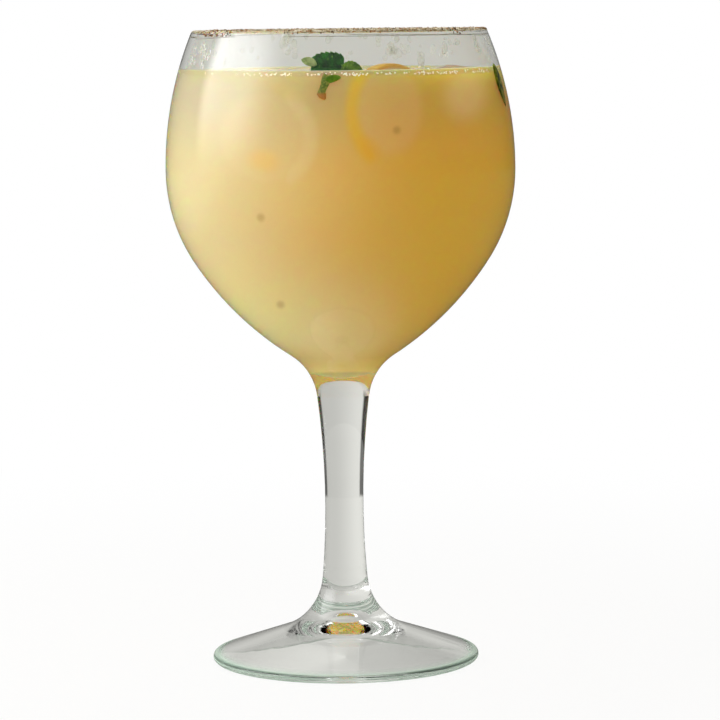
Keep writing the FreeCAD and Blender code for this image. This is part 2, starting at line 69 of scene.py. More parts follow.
# %% Camera
CAMERA_DISTANCE = 1.0
CAMERA_HEIGHT = 0.1996
CAMERA_DIP = 6.088  # degrees under the horizon
CAMERA_TURN = 0.305  # degrees to the right
CAMERA_LEAN = 0.62  # degrees
CAMERA_LENS = 163.2  # mm
MIRROR_BOUNCES = 12

deselect()
bpy.ops.object.camera_add(location=(0, -CAMERA_DISTANCE, CAMERA_HEIGHT))
camera = named("camera")
camera.data.sensor_width = 36
camera.data.lens = CAMERA_LENS
camera.rotation_euler = (
    Matrix.Rotation(radians(-CAMERA_TURN), 4, "Z")
    @ Matrix.Rotation(radians(90 - CAMERA_DIP), 4, "X")
    @ Matrix.Rotation(radians(-CAMERA_LEAN), 4, "Z")
).to_euler()
bpy.context.scene.camera = camera
bpy.context.scene.view_settings.view_transform = "Standard"
bpy.context.scene.cycles.glossy_bounces = MIRROR_BOUNCES
print("camera at", tuple(round(v, 3) for v in camera.location), "lens", camera.data.lens)

# %% [markdown]
# ## Helpers for materials
# Every finish is a small graph of nodes. A few helpers make a node, set its inputs and link it, so that each
# recipe below reads from top to bottom.

# %% Node helpers
def new_material(name, **sockets):
    """A node material and its Principled shader, with plain numbers and colours set on the sockets."""
    material = bpy.data.materials.new(name)
    material.use_nodes = True
    shader = material.node_tree.nodes["Principled BSDF"]
    for socket, value in sockets.items():
        shader.inputs[socket.replace("_", " ")].default_value = value
    return material, shader


def add_node(material, kind, inputs=None, **settings):
    """Adds a node; inputs maps a socket's name or number to a plain value or to another node's output."""
    node = material.node_tree.nodes.new(kind)
    for setting, value in settings.items():
        setattr(node, setting, value)
    for socket, value in (inputs or {}).items():
        if isinstance(value, bpy.types.NodeSocket):
            material.node_tree.links.new(value, node.inputs[socket])
        else:
            node.inputs[socket].default_value = value
    return node


def link(material, output, target):
    material.node_tree.links.new(output, target)


def shade(material, shader_output):
    """Makes a shader the surface of the material."""
    link(material, shader_output, material.node_tree.nodes["Material Output"].inputs["Surface"])


def mixed(material, share, first, second):
    """Mixes two shaders, all of the second where share is 1."""
    return add_node(material, "ShaderNodeMixShader", {0: share, 1: first, 2: second}).outputs[0]


def sides_of(material, vector):
    """The X, Y and Z outputs of a vector."""
    return add_node(material, "ShaderNodeSeparateXYZ", {0: vector}).outputs


def measure(material, operation, first, second=(0, 0, 0)):
    """A number from one or two vectors: LENGTH or DOT_PRODUCT."""
    inputs = {0: first, 1: second}
    return add_node(material, "ShaderNodeVectorMath", inputs, operation=operation).outputs["Value"]


def from_axis(material, sides):
    """The distance from the Z axis, from the X and Y outputs of a place."""
    across = add_node(material, "ShaderNodeCombineXYZ", {0: sides["X"], 1: sides["Y"]})
    return measure(material, "LENGTH", across.outputs[0])


# %% Number and colour helpers
def arith(material, operation, first, second=0.0):
    """One step of arithmetic on node outputs or plain numbers."""
    return add_node(material, "ShaderNodeMath", {0: first, 1: second}, operation=operation).outputs[0]


def ramp(material, value, start, end, low=0.0, high=1.0):
    """A number that eases from low to high as the value goes from start to end."""
    inputs = {"Value": value, "From Min": start, "From Max": end, "To Min": low, "To Max": high}
    return add_node(material, "ShaderNodeMapRange", inputs, interpolation_type="SMOOTHSTEP").outputs[0]


def times(material, first, second):
    return arith(material, "MULTIPLY", first, second)


def tint(material, share, under, over):
    """Lays one colour over another by a share from 0 to 1."""
    return add_node(material, "ShaderNodeMix", {0: share, 6: under, 7: over}, data_type="RGBA").outputs[2]


def place_on(material):
    """The point on the piece, in metres."""
    return add_node(material, "ShaderNodeTexCoord").outputs["Object"]


def noise(material, size, detail=3.0, roughness=0.6, point=None):
    """Soft random blotches about as large as size, in metres."""
    inputs = {"Vector": point or place_on(material), "Scale": 1 / size, "Detail": detail, "Roughness": roughness}
    return add_node(material, "ShaderNodeTexNoise", inputs).outputs["Fac"]


def bumps(material, shader, height, depth):
    """Raises and lowers the surface's shading by a height from 0 to 1, times depth in metres."""
    bump = add_node(material, "ShaderNodeBump", {"Height": height, "Distance": depth, "Strength": 1.0})
    link(material, bump.outputs[0], shader.inputs["Normal"])


def give(piece, material):
    """Leaves a piece with this material alone."""
    piece.data.materials.clear()
    piece.data.materials.append(material)


def blotches(material, size, detail, edges, dark, light):
    """A blotched colour; edges are the noise's levels at which the light colour starts and is full."""
    return tint(material, ramp(material, noise(material, size, detail), *edges), dark, light)


def blotched(name, *look, **sockets):
    """A material with a blotched colour."""
    material, shader = new_material(name, **sockets)
    link(material, blotches(material, *look), shader.inputs["Base Color"])
    return material, shader


def see_through(material, shader, blend, edges, clear_colour):
    """Lets what lies behind the surface show; edges ease the shader's share from head on to edge on."""
    edge_on = add_node(material, "ShaderNodeLayerWeight", {"Blend": blend}).outputs["Facing"]
    clear = add_node(material, "ShaderNodeBsdfTransparent", {"Color": clear_colour})
    shade(material, mixed(material, ramp(material, edge_on, *edges), clear.outputs[0], shader.outputs[0]))


# %% [markdown]
# ## Studio
# A large softbox stands at the left and light also comes from behind on the left, so the cloudy drink glows
# pale there and deepens to gold on the right, and painted light in the drink's colour adds to this. What the
# camera sees directly is white. What it sees through the glass is a paler grey, and the room is dark at the
# sides, which draws the edges of the stem. The first thing a ray may do is pass the glass: once it has been
# scattered by the drink, it sees the plain room.

# %% World
PALE = (0.62, 0.615, 0.585, 1)
ROOM_LIGHT = (1, 0.985, 0.96, 1)
BACKDROP_EDGE = 0.62, 0.74  # the pale backdrop starts and is full where the way points this much to the rear
REAR = Vector((0.08, 0.997, 0))  # the middle of the backdrop, a little to the right
BRIGHT_SIDE = Vector((-0.45, 0.88, 0.1)).normalized()
ROOM_LOW, ROOM_HIGH = 0.72, 1.15
LIGHT_SPREAD = -0.2, 0.8  # where the room starts to brighten towards that side, and where it is brightest
DARK = 0.01  # the room at the sides
CEILING = 0.9  # next to the backdrop
CEILING_RISE = 0.08, 0.28  # how far up a way points where the ceiling starts and is full
FRONT = 0.4
FRONT_RISE = -0.1, -0.6
SIDE_FADE = 0.4, -0.65, 0.9, 1.25  # the backdrop is a little brighter towards the left
IN_MIRROR = 1.0  # how bright the backdrop is in a reflection, next to what is seen through clear glass
MIRROR_EDGE = 0.86, 0.96  # and how narrow
MIRROR_DARK = 0.02
HORIZON_RISE = 0.0, 0.35  # a reflection fades towards the floor's level near the horizon
FLOOR_IN_MIRROR = 0.12
FLOOR_UNDER_FOOT = 0.65  # the floor next to the foot, as the foot mirrors it


def through_glass(material):
    """1 for a ray that only met glass or a mirror before, and 0 for one that a matt surface scattered."""
    path = add_node(material, "ShaderNodeLightPath")
    glassy = arith(material, "MAXIMUM", path.outputs["Is Transmission Ray"], path.outputs["Is Glossy Ray"])
    direct = arith(material, "LESS_THAN", path.outputs["Diffuse Depth"], 0.5)
    return path, times(material, glassy, direct)


def by_ray(material, path, through, mirrored):
    """One level for what is seen through the glass, and another for what is seen in a reflection on it."""
    passed = path.outputs["Is Transmission Ray"]
    through = times(material, through, passed)
    mirrored = times(material, mirrored, arith(material, "SUBTRACT", 1.0, passed))
    return arith(material, "ADD", through, mirrored)


world = bpy.data.worlds.new("studio")
bpy.context.scene.world = world
world.use_nodes = True
way = add_node(world, "ShaderNodeTexCoord").outputs["Generated"]
toward_light = measure(world, "DOT_PRODUCT", way, BRIGHT_SIDE)
behind = measure(world, "DOT_PRODUCT", way, REAR)
room = world.node_tree.nodes["Background"]
room.inputs["Color"].default_value = ROOM_LIGHT
link(world, ramp(world, toward_light, *LIGHT_SPREAD, ROOM_LOW, ROOM_HIGH), room.inputs["Strength"])
path, glassy = through_glass(world)
way_parts = sides_of(world, way)
ceiling = ramp(world, way_parts["Z"], *CEILING_RISE, 0.0, CEILING)
in_front = ramp(world, behind, *FRONT_RISE, 0.0, FRONT)
rear_level = ramp(world, behind, *BACKDROP_EDGE, DARK, 1.0)
clear_level = arith(world, "MAXIMUM", arith(world, "MAXIMUM", rear_level, ceiling), in_front)
clear_level = times(world, clear_level, ramp(world, way_parts["X"], *SIDE_FADE))
mirror_level = ramp(world, behind, *MIRROR_EDGE, MIRROR_DARK, IN_MIRROR)
mirror_level = times(world, mirror_level, ramp(world, way_parts["Z"], *HORIZON_RISE, FLOOR_IN_MIRROR, 1.0))
backdrop_level = by_ray(world, path, clear_level, mirror_level)
backdrop = add_node(world, "ShaderNodeBackground", {"Color": PALE, "Strength": backdrop_level})
white = add_node(world, "ShaderNodeBackground", {"Color": (1, 1, 1, 1), "Strength": 1.0})
near = mixed(world, glassy, room.outputs[0], backdrop.outputs[0])
seen = mixed(world, path.outputs["Is Camera Ray"], near, white.outputs[0])
link(world, seen, world.node_tree.nodes["World Output"].inputs["Surface"])
print("brightest from", tuple(round(v, 2) for v in BRIGHT_SIDE))

# %% Softbox
# The power of an area lamp follows from its area and how bright it looks. The light fades over the outer part
# of the cloth: KEY_SOFT is the share of each half that fades, at the low and the high end across and at both
# ends up.
KEY_PLACE = Vector((-0.74, -0.16, 0.47))
KEY_AIM = Vector((0, 0, 0.15))
KEY_WIDTH, KEY_HEIGHT = 1.12, 0.84
KEY_RADIANCE = 3.65
KEY_SOFT = 0.42, 0.9, 0.85
bpy.ops.object.light_add(type="AREA", location=KEY_PLACE)
key = named("key")
key.data.shape = "RECTANGLE"
key.data.size, key.data.size_y = KEY_WIDTH, KEY_HEIGHT
key.data.energy = KEY_RADIANCE * pi * KEY_WIDTH * KEY_HEIGHT
key.rotation_euler = (KEY_AIM - KEY_PLACE).to_track_quat("-Z", "Y").to_euler()
key.data.use_nodes = True
sides = sides_of(key.data, add_node(key.data, "ShaderNodeNewGeometry").outputs["Parametric"])
level = ramp(key.data, sides["X"], 0.0, KEY_SOFT[0] / 2)
level = times(key.data, level, ramp(key.data, sides["X"], 1.0, 1.0 - KEY_SOFT[1] / 2))
from_middle = arith(key.data, "ABSOLUTE", arith(key.data, "SUBTRACT", sides["Y"], 0.5))
level = times(key.data, level, ramp(key.data, from_middle, 0.5, 0.5 - KEY_SOFT[2] / 2))
link(key.data, level, key.data.node_tree.nodes["Emission"].inputs["Strength"])
print("key", round(key.data.energy, 2), "W")

# %% Floor
FLOOR_FAR, FLOOR_NEAR = 0.22, 1.06  # seen through the glass: far off at the sides, and near or to the rear
FLOOR_EDGE = 0.40, 0.34  # metres from the glass
UNDER_FOOT_EDGE = 0.035, 0.10
SHADOW_EDGE = 0.1, 0.45
SHADOW_WHITE = 0.85  # how far the shadow next to the foot is lifted towards white

deselect()
bpy.ops.mesh.primitive_plane_add(size=6)
floor = named("floor")
floor_finish, floor_shader = new_material("floor", Base_Color=(0.85, 0.845, 0.82, 1), Roughness=0.7)
path, glassy = through_glass(floor_finish)
spot = place_on(floor_finish)
way = add_node(floor_finish, "ShaderNodeVectorMath", {0: spot}, operation="NORMALIZE").outputs["Vector"]
away = measure(floor_finish, "LENGTH", spot)
to_rear = ramp(floor_finish, measure(floor_finish, "DOT_PRODUCT", way, REAR), *BACKDROP_EDGE)
pale_share = arith(floor_finish, "MAXIMUM", to_rear, ramp(floor_finish, away, *FLOOR_EDGE))
side_fade = ramp(floor_finish, sides_of(floor_finish, way)["X"], *SIDE_FADE)
clear_level = times(floor_finish, ramp(floor_finish, pale_share, 0, 1, FLOOR_FAR, FLOOR_NEAR), side_fade)
mirror_level = ramp(floor_finish, away, *UNDER_FOOT_EDGE, FLOOR_UNDER_FOOT, FLOOR_IN_MIRROR)
pale_level = by_ray(floor_finish, path, clear_level, mirror_level)
pale = add_node(floor_finish, "ShaderNodeEmission", {"Color": PALE, "Strength": pale_level})
white = add_node(floor_finish, "ShaderNodeEmission", {"Color": (1, 1, 1, 1), "Strength": 1.0})
near = mixed(floor_finish, glassy, floor_shader.outputs[0], pale.outputs[0])
lift = ramp(floor_finish, away, *SHADOW_EDGE, SHADOW_WHITE, 1.0)
share = times(floor_finish, path.outputs["Is Camera Ray"], lift)
shade(floor_finish, mixed(floor_finish, share, near, white.outputs[0]))
give(floor, floor_finish)
print("floor", round(floor.dimensions.x, 1), "m wide")

# %% [markdown]
# ## Glass
# The goblet is pressed soda-lime glass, clear through the wall and faintly green through the thick foot. Its
# CAD shape is right, so it only needs a finish. Lamps shine straight through it, which Cycles does by a clear
# shader for shadow rays: real glass lets that light in by bending it, which takes far more samples. On the
# round edge of the foot, light that goes round inside the glass and picks up its green is painted: a little
# matt green is mixed in there, in soft streaks.

# %% Glass finish
# Painted light: a matt green, in soft streaks, is mixed into the foot's round edge where light from inside the glass
# would show.
PAINTED_GREEN_HEIGHT = 0.0062, 0.0032  # metres: no green over the first, all of it under the second
PAINTED_GREEN_RADIUS = 0.0372, 0.0392
PAINTED_GREEN_SHARE = 0.5
PAINTED_STREAK_HEIGHT = 0.0011
PAINTED_STREAK_LOW = 0.35
glass_finish, glass_shader = new_material(
    "clear_glass", Base_Color=(0.985, 0.995, 0.985, 1), Transmission_Weight=1.0, Roughness=0.0, IOR=1.52
)
path = add_node(glass_finish, "ShaderNodeLightPath")
clear = add_node(glass_finish, "ShaderNodeBsdfTransparent", {"Color": (0.95, 0.96, 0.95, 1)})
foot = sides_of(glass_finish, place_on(glass_finish))
low = ramp(glass_finish, foot["Z"], *PAINTED_GREEN_HEIGHT)
edge = ramp(glass_finish, from_axis(glass_finish, foot), *PAINTED_GREEN_RADIUS, 0.0, PAINTED_GREEN_SHARE)
edge = times(glass_finish, edge, low)
painted_streak = arith(glass_finish, "SINE", times(glass_finish, foot["Z"], 2 * pi / PAINTED_STREAK_HEIGHT))
edge = times(glass_finish, edge, ramp(glass_finish, painted_streak, -1.0, 1.0, PAINTED_STREAK_LOW, 1.0))
# the matt green of the painted light on the foot's edge
green = add_node(glass_finish, "ShaderNodeBsdfDiffuse", {"Color": (0.52, 0.68, 0.57, 1)})
body = mixed(glass_finish, edge, glass_shader.outputs[0], green.outputs[0])
shade(glass_finish, mixed(glass_finish, path.outputs["Is Shadow Ray"], body, clear.outputs[0]))
give(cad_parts["glass"], glass_finish)
print("glass", len(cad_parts["glass"].data.polygons), "faces")

# %% [markdown]
# ## Bowl
# The inside of the bowl is four arcs in a row, each tangent to the next. What stands in the drink or clings
# to the glass takes its place from these arcs, so the helper that gives the wall's radius comes first.

# %% Bowl
MM = 0.001
WALL = 1.8 * MM
RIM_RADIUS = 44.9 * MM
BELLY_DROP = 42.3 * MM
LOWER_CURVE = 51.8 * MM
EASE_DROP = 28.2 * MM
CONE_CURVE = 92.0 * MM
BOTTOM_CURVE = 10.0 * MM
RIM_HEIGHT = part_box("glass")[1][2]
BELLY_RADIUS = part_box("glass")[1][0]
BELLY_HEIGHT = RIM_HEIGHT - BELLY_DROP
DRINK_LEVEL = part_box("lemonade")[1][2]
DRINK_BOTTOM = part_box("lemonade")[0][2]
NARROWING = BELLY_RADIUS - RIM_RADIUS
UPPER_CURVE = (BELLY_DROP**2 + NARROWING**2) / (2 * NARROWING)
EASE_TURN = asin(EASE_DROP / LOWER_CURVE)
LOWER_CENTRE = Vector((BELLY_RADIUS - LOWER_CURVE, BELLY_HEIGHT))
UPPER_CENTRE = Vector((BELLY_RADIUS - UPPER_CURVE, BELLY_HEIGHT))
EASE_WAY = Vector((cos(EASE_TURN), -sin(EASE_TURN)))
CONE_CENTRE = LOWER_CENTRE + EASE_WAY * (LOWER_CURVE - WALL - CONE_CURVE)
BOTTOM_CENTRE = Vector((0, CONE_CENTRE.y - sqrt((CONE_CURVE - BOTTOM_CURVE) ** 2 - CONE_CENTRE.x**2)))
CONE_END = (BOTTOM_CENTRE - CONE_CENTRE).normalized()


def bowl_arcs(top, depth=0.0):
    """The inside of the bowl from a height down to the axis, as (centre, radius, from angle, to angle)."""
    upper = UPPER_CURVE - WALL + depth
    cone_turn = atan2(CONE_END.y, CONE_END.x)
    return [
        (UPPER_CENTRE, upper, asin((top - BELLY_HEIGHT) / upper), 0),
        (LOWER_CENTRE, LOWER_CURVE - WALL + depth, 0, -EASE_TURN),
        (CONE_CENTRE, CONE_CURVE + depth, -EASE_TURN, cone_turn),
        (BOTTOM_CENTRE, BOTTOM_CURVE + depth, cone_turn, -pi / 2),
    ]


def wall_at(height, depth=0.0):
    """Radius of the bowl's inside at a height over the belly."""
    return UPPER_CENTRE.x + sqrt((UPPER_CURVE - WALL + depth) ** 2 - (height - BELLY_HEIGHT) ** 2)


def on_wall(turn, height, depth=0.0):
    """A point on the bowl's inside, turn degrees round from the front (right is +)."""
    radius = wall_at(height, depth)
    turn = radians(turn)
    return Vector((radius * sin(turn), -radius * cos(turn), height))


print("bottom of the bowl", round(BOTTOM_CENTRE.y - BOTTOM_CURVE, 5), "CAD", round(DRINK_BOTTOM, 5))

# %% [markdown]
# ## Drink
# The drink is a solid of revolution, so its outline is drawn point by point and spun, as on a lathe. Light
# that crosses a gap of air between two clear things bends twice and draws a false edge, so the drink reaches
# a little way into the wall. At the wall its surface climbs in a small meniscus.

# %% Lathe
def start_edit(piece):
    bpy.context.view_layer.objects.active = piece
    bpy.ops.object.mode_set(mode="EDIT")


def end_edit():
    bpy.ops.object.mode_set(mode="OBJECT")


def settle(piece, smooth=None):
    """Puts the piece's place into its mesh, and shades it smooth, or smooth up to an angle in degrees."""
    deselect()
    piece.select_set(True)
    bpy.context.view_layer.objects.active = piece
    bpy.ops.object.transform_apply(location=True, rotation=True, scale=True)
    if smooth is None:
        bpy.ops.object.shade_smooth()
    else:
        bpy.ops.object.shade_smooth_by_angle(angle=radians(smooth))
    return piece


def face_outward(piece, weld=False):
    """Turns every face outward; weld first joins points that lie on top of each other."""
    start_edit(piece)
    bpy.ops.mesh.select_all(action="SELECT")
    if weld:
        bpy.ops.mesh.remove_doubles(threshold=1e-6)
    bpy.ops.mesh.normals_make_consistent(inside=False)
    end_edit()


def turn_by(yaw, pitch, roll):
    """A turn in degrees about X, then Y, then Z."""
    about_x = Matrix.Rotation(radians(roll), 4, "X")
    return Matrix.Rotation(radians(yaw), 4, "Z") @ Matrix.Rotation(radians(pitch), 4, "Y") @ about_x


def circle(radius, height, reach, angles):
    """Points of an outline on a circle round (radius, height), at angles in degrees."""
    return [(radius + reach * cos(radians(a)), height + reach * sin(radians(a))) for a in angles]


def turned(name, outline, steps, angle=360.0, start=0.0):
    """A lathe: draws the outline in the XZ plane point by point, then spins it round the axis."""
    deselect()
    first = outline[0]
    bpy.ops.mesh.primitive_plane_add(size=0.001, location=(first[0], 0, first[1]))
    piece = named(name)
    start_edit(piece)
    bpy.ops.mesh.merge(type="CENTER")
    for last, point in zip(outline, outline[1:]):
        step = (point[0] - last[0], 0, point[1] - last[1])
        bpy.ops.mesh.extrude_region_move(TRANSFORM_OT_translate={"value": step})
    bpy.ops.mesh.select_all(action="SELECT")
    bpy.ops.mesh.spin(steps=steps, angle=radians(angle), center=(0, 0, 0), axis=(0, 0, 1))
    end_edit()
    face_outward(piece, weld=True)
    settle(piece)
    piece.data.transform(Matrix.Rotation(radians(start), 4, "Z"))
    return piece


# %% Drink
INTO_WALL = 0.15 * MM
MENISCUS_RISE = 0.8 * MM
MENISCUS_REACH = 1.3 * MM
ARC_STEP = radians(3)
TOP_RINGS, TOP_CROWDING = 40, 2.2  # rings over the top, closer together near the wall
shore = DRINK_LEVEL + MENISCUS_RISE
outline = []
for centre, radius, start, end in bowl_arcs(shore, INTO_WALL):
    count = max(3, round(abs(end - start) / ARC_STEP))
    for number in range(count):
        angle = start + (end - start) * number / count
        outline.append((centre.x + radius * cos(angle), centre.y + radius * sin(angle)))
outline.append((0, BOTTOM_CENTRE.y - BOTTOM_CURVE - INTO_WALL))
outline.reverse()
shore_radius = wall_at(shore, INTO_WALL)
for number in range(1, TOP_RINGS):
    inward = (number / TOP_RINGS) ** TOP_CROWDING
    radius = shore_radius * (1 - inward)
    rise = MENISCUS_RISE * exp(-(shore_radius - radius) / MENISCUS_REACH)
    outline.append((radius, DRINK_LEVEL + rise))
outline.append((0, DRINK_LEVEL))
drink = turned("drink", outline, steps=160)
print("drink", len(drink.data.vertices), "points", len(drink.data.polygons), "faces")
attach(drink, "root")
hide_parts("lemonade")

# %% [markdown]
# ## Drink finish
# Cloudy lemonade is water full of fine pulp, and light wanders in it before it comes out. Subsurface
# scattering does that, with red going much further than green and blue: near the light the drink is pale,
# and away from it deep gold. Light and shade are also painted into its colour: paler towards the lit left,
# duller and darker over the upper part, darker over the top millimetre at the wall, lighter low on the left and
# darker in the pointed bottom. What is sunk in it shows as soft shapes: the rind of the slice on the right, a
# second slice and a leaf on the left, ice on the right, and a few bits of ginger. They could be modelled
# inside a clear drink, but the cloud would have to be a true volume, which is slow and grainy. So each one is
# a soft tint at its real size and place on the drink's skin.

# %% Drink finish
drink_finish, drink_shader = new_material(
    "cloudy_lemonade",
    Roughness=0.12,
    IOR=1.12,
    Specular_IOR_Level=0.3,
    Subsurface_Weight=1.0,
    Subsurface_Radius=(1.0, 0.3, 0.05),
    Subsurface_Scale=0.06,
)
DRINK_GOLD = (1.0, 0.685, 0.12, 1)
# painted light: the paler colour of the drink's lit left side
DRINK_PAINTED_LIT_SIDE = (0.80, 0.73, 0.45, 1)
# painted shade: the duller, darker colour of the drink's upper part
DRINK_TOP_SHADE = (0.62, 0.60, 0.17, 1)
DRINK_TOP_SHADE_LIT_SIDE = (0.57, 0.58, 0.44, 1)
DRINK_LOW = (1.0, 0.87, 0.46, 1)  # low on the left, where light comes up from the table
DRINK_PIT = (0.55, 0.53, 0.20, 1)  # the pointed bottom, which little light reaches
DRINK_SHORE_SHADE = (0.58, 0.47, 0.24, 1)  # painted shade: the top millimetre, where the drink thins to a wedge at the wall, is painted darker and less red
DRINK_SHORE_SHADE_LIT_SIDE = (0.60, 0.58, 0.42, 1)
TOP_SHADE_SHARE = 0.8
skin = place_on(drink_finish)
skin_x, skin_y, skin_z = sides_of(drink_finish, skin)


def band(value, start, end):
    """A share that eases from 0 at start to 1 at end, both in mm."""
    return ramp(drink_finish, value, start * MM, end * MM)


front = band(skin_y, -6, -14)
below_top = ramp(drink_finish, skin_z, DRINK_LEVEL - 0.1 * MM, DRINK_LEVEL - 0.6 * MM)
front = times(drink_finish, front, below_top)  # nothing sunk is tinted onto the flat top
# Painted light: the colour turns paler towards the lit left side.
painted_lit_side = band(skin_x, 32, -48)
drink_colour = tint(drink_finish, painted_lit_side, DRINK_GOLD, DRINK_PAINTED_LIT_SIDE)
top_shade_colour = tint(drink_finish, painted_lit_side, DRINK_TOP_SHADE, DRINK_TOP_SHADE_LIT_SIDE)
# Painted shade: from 150 mm up the drink is painted duller and darker.
drink_colour = tint(drink_finish, times(drink_finish, band(skin_z, 150, 180), TOP_SHADE_SHARE), drink_colour, top_shade_colour)
low_share = times(drink_finish, band(skin_z, 138, 106), band(skin_z, 93, 102))
low_share = times(drink_finish, low_share, band(skin_x, 32, -28))
drink_colour = tint(drink_finish, low_share, drink_colour, DRINK_LOW)
pit_radius = from_axis(drink_finish, {"X": skin_x, "Y": skin_y})
pit_share = times(drink_finish, band(pit_radius, 6.6, 4.6), band(skin_z, 95, 94))
drink_colour = tint(drink_finish, pit_share, drink_colour, DRINK_PIT)
shore_shade_colour = tint(drink_finish, painted_lit_side, DRINK_SHORE_SHADE, DRINK_SHORE_SHADE_LIT_SIDE)
# Painted shade over the top millimetre of the drink and its top.
drink_colour = tint(drink_finish, band(skin_z, 180.4, 181.4), drink_colour, shore_shade_colour)


def oval(across, height, half_width, half_height, tilt=0.0):
    """How far a point of the skin lies from the middle of an upright oval, 1 at its edge."""
    inputs = {
        "Vector": skin,
        "Location": (across * MM, 0, height * MM),
        "Rotation": (0, radians(tilt), 0),
        "Scale": (half_width * MM, 1000.0, half_height * MM),
    }
    local = add_node(drink_finish, "ShaderNodeMapping", inputs, vector_type="TEXTURE").outputs[0]
    return measure(drink_finish, "LENGTH", local)


def rim_of(distance, kept):
    """How far a point lies from an oval's edge, and further off where the share kept falls from 1 to 0."""
    off_edge = arith(drink_finish, "ABSOLUTE", arith(drink_finish, "SUBTRACT", distance, 1.0))
    return arith(drink_finish, "ADD", off_edge, arith(drink_finish, "SUBTRACT", 1.0, kept))


RIND = (0.93, 0.70, 0.07, 1)
RIND_END = (0.96, 0.62, 0.10, 1)
PULP = (0.95, 0.72, 0.36, 1)
SUNK_PALE = (0.98, 0.86, 0.58, 1)
SUNK_EDGE = (1, 0.93, 0.70, 1)
SUNK_PEEL = (0.95, 0.68, 0.18, 1)
SUNK_LEAF = (0.72, 0.68, 0.30, 1)
GINGER = (0.45, 0.30, 0.08, 1)
right_slice = oval(14.2, 171.1, 10.7, 14.8)
left_slice = oval(-22.0, 163.4, 13.6, 13.6)
SUNK = [  # colour, strength, distance, and the distances at which it starts and is full
    (PULP, 0.35, right_slice, 1.05, 0.7),
    (RIND, 0.65, rim_of(right_slice, band(skin_x, 15, 8)), 0.30, 0.02),
    (SUNK_PALE, 0.14, left_slice, 1.04, 0.85),
    (SUNK_EDGE, 0.22, rim_of(left_slice, band(skin_x, -22, -14)), 0.24, 0.02),
    (RIND_END, 0.45, oval(8.5, 160.0, 3.2, 4.6, -35), 1.25, 0.3),
    (SUNK_PEEL, 0.45, oval(-22.0, 156.7, 5.2, 3.6, 10), 1.3, 0.3),
    (SUNK_LEAF, 0.45, oval(-14.8, 176.4, 6.4, 2.6, 18), 1.15, 0.5),
    (SUNK_PALE, 0.42, oval(36.6, 174.6, 7.0, 7.6, 8), 1.4, 0.3),
    (GINGER, 0.45, oval(-23.2, 140.2, 1.5, 1.5), 1.3, 0.2),
    (GINGER, 0.45, oval(-18.0, 113.7, 1.5, 1.5), 1.3, 0.2),
    (GINGER, 0.45, oval(16.3, 165.2, 1.4, 1.4), 1.3, 0.2),
]
for colour, strength, distance, clear, full in SUNK:
    share = times(drink_finish, ramp(drink_finish, distance, clear, full, 0.0, strength), front)
    drink_colour = tint(drink_finish, share, drink_colour, colour)
link(drink_finish, drink_colour, drink_shader.inputs["Base Color"])
give(drink, drink_finish)
print("drink finish", len(drink_finish.node_tree.nodes), "nodes")

# %% [markdown]
# ## Things that repeat
# Sugar, spice, bubbles and drops are each modelled once, as a small faceted body with a few dozen faces, and
# then copied by the hundred. Each copy gets its own mesh, size and turn, and the copies are joined into one
# piece, so that a grain is real geometry and still costs little.

# %% Copies
def faceted(name, detail, jitter, chance):
    """A rough little body about 1 m across, to be scaled by its copies."""
    deselect()
    bpy.ops.mesh.primitive_ico_sphere_add(subdivisions=detail, radius=0.5)
    body = named(name)
    for point in body.data.vertices:
        point.co *= 1 + chance.uniform(-jitter, jitter)
    return body


def copies(name, bodies, places, smooth=None):
    """Joins copies of the bodies, one at each 4x4 matrix, into one piece and removes the first bodies."""
    made = []
    for number, where in enumerate(places):
        body = bodies[number % len(bodies)]
        mesh = body.data.copy()
        mesh.transform(where)
        made.append(bpy.data.objects.new(name, mesh))
        bpy.context.collection.objects.link(made[-1])
    deselect()
    for each in made:
        each.select_set(True)
    bpy.context.view_layer.objects.active = made[0]
    bpy.ops.object.join()
    for body in bodies:
        bpy.data.objects.remove(body)
    piece = settle(bpy.context.object, smooth)
    piece.name = name
    print(name, len(places), "copies", len(piece.data.polygons), "faces")
    return piece


def tumbled(point, sizes, chance):
    """A place for a copy: turned at random, as large as sizes in metres."""
    angle = chance.uniform(0, 6.28)
    turn = Matrix.Rotation(angle, 4, Vector([chance.gauss(0, 1) for _ in range(3)]).normalized())
    return Matrix.Translation(point) @ turn @ Matrix.Diagonal((*sizes, 1))


def facing(point, outward, sizes, spin=0.0):
    """A place for a copy whose local Z points outward, as large as sizes in metres."""
    turn = outward.to_track_quat("Z", "Y").to_matrix().to_4x4() @ Matrix.Rotation(spin, 4, "Z")
    return Matrix.Translation(point) @ turn @ Matrix.Diagonal((*sizes, 1))


def finished(piece, material, slot, *stands_for):
    """Gives the piece its material, and says what it rides on and replaces; slot is not used."""
    give(piece, material)
    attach(piece, "root")
    for node in stands_for:
        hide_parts(node)
    print(piece.name, len(piece.data.polygons), "faces", [round(v * 1000, 1) for v in piece.dimensions])


# %% [markdown]
# ## Rim
# The rim was wetted and dipped in sugar and ground spice, all but a short stretch on the left. A thin skin of
# damp sugar is spun along the rim with the lathe helper and roughened. The grains are then scattered over it:
# pale sugar crystals, ochre spice, dark flecks of chilli, and a few bigger crumbs that hang on the outside.

# %% Crust
RIM_MIDDLE = RIM_RADIUS - WALL / 2
RIM_CENTRE_HEIGHT = RIM_HEIGHT - WALL / 2
BARE_ARC = 46.0  # degrees of the rim about its left
CRUST_ARC = 360 - BARE_ARC
CRUST_LOW = 0.2 * MM  # the skin starts this far over the middle of the rim's round top
TOP_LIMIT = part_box("spice_rim")[1][2]
chance = random.Random(7)


def on_rim(turn, lean, distance):
    """A point round the rim: turn from the bare middle at the left, lean 0 outward to 180 inward."""
    turn = radians(180 + turn)
    radius = RIM_MIDDLE + distance * cos(radians(lean))
    height = RIM_CENTRE_HEIGHT + distance * sin(radians(lean))
    return Vector((radius * cos(turn), radius * sin(turn), height))


